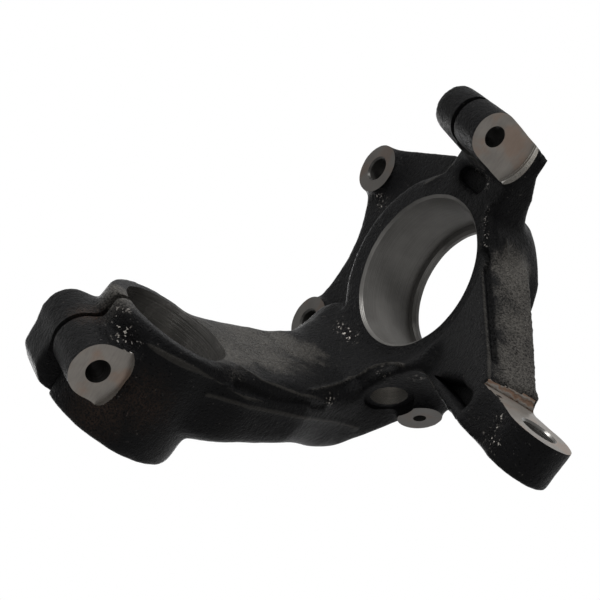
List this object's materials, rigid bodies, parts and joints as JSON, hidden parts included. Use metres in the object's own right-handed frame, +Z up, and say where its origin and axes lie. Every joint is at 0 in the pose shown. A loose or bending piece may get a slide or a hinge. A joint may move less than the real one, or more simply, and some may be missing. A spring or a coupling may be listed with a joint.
{
  "type": "steering knuckle",
  "caption": "Cast steering knuckle with a wheel-bearing ring, a cranked strut-clamp arm, a steering arm, a ball-joint clamp and a caliper bracket.",
  "frame": {"origin": "centre of the wheel-bearing seat, on the wheel's axis", "axes": "+Y along the wheel's axis, outboard; +Z up, towards the strut clamp; +X along the car, from the steering arm towards the caliper bracket"},
  "size_m": [0.2781, 0.2122, 0.2243],
  "materials": {
    "casting": "sand-cast iron under thin black satin paint, with bare machined seats, pads and bores"
  },
  "bodies": {
    "root": {"knuckle_casting": "casting"}
  },
  "joints": []
}
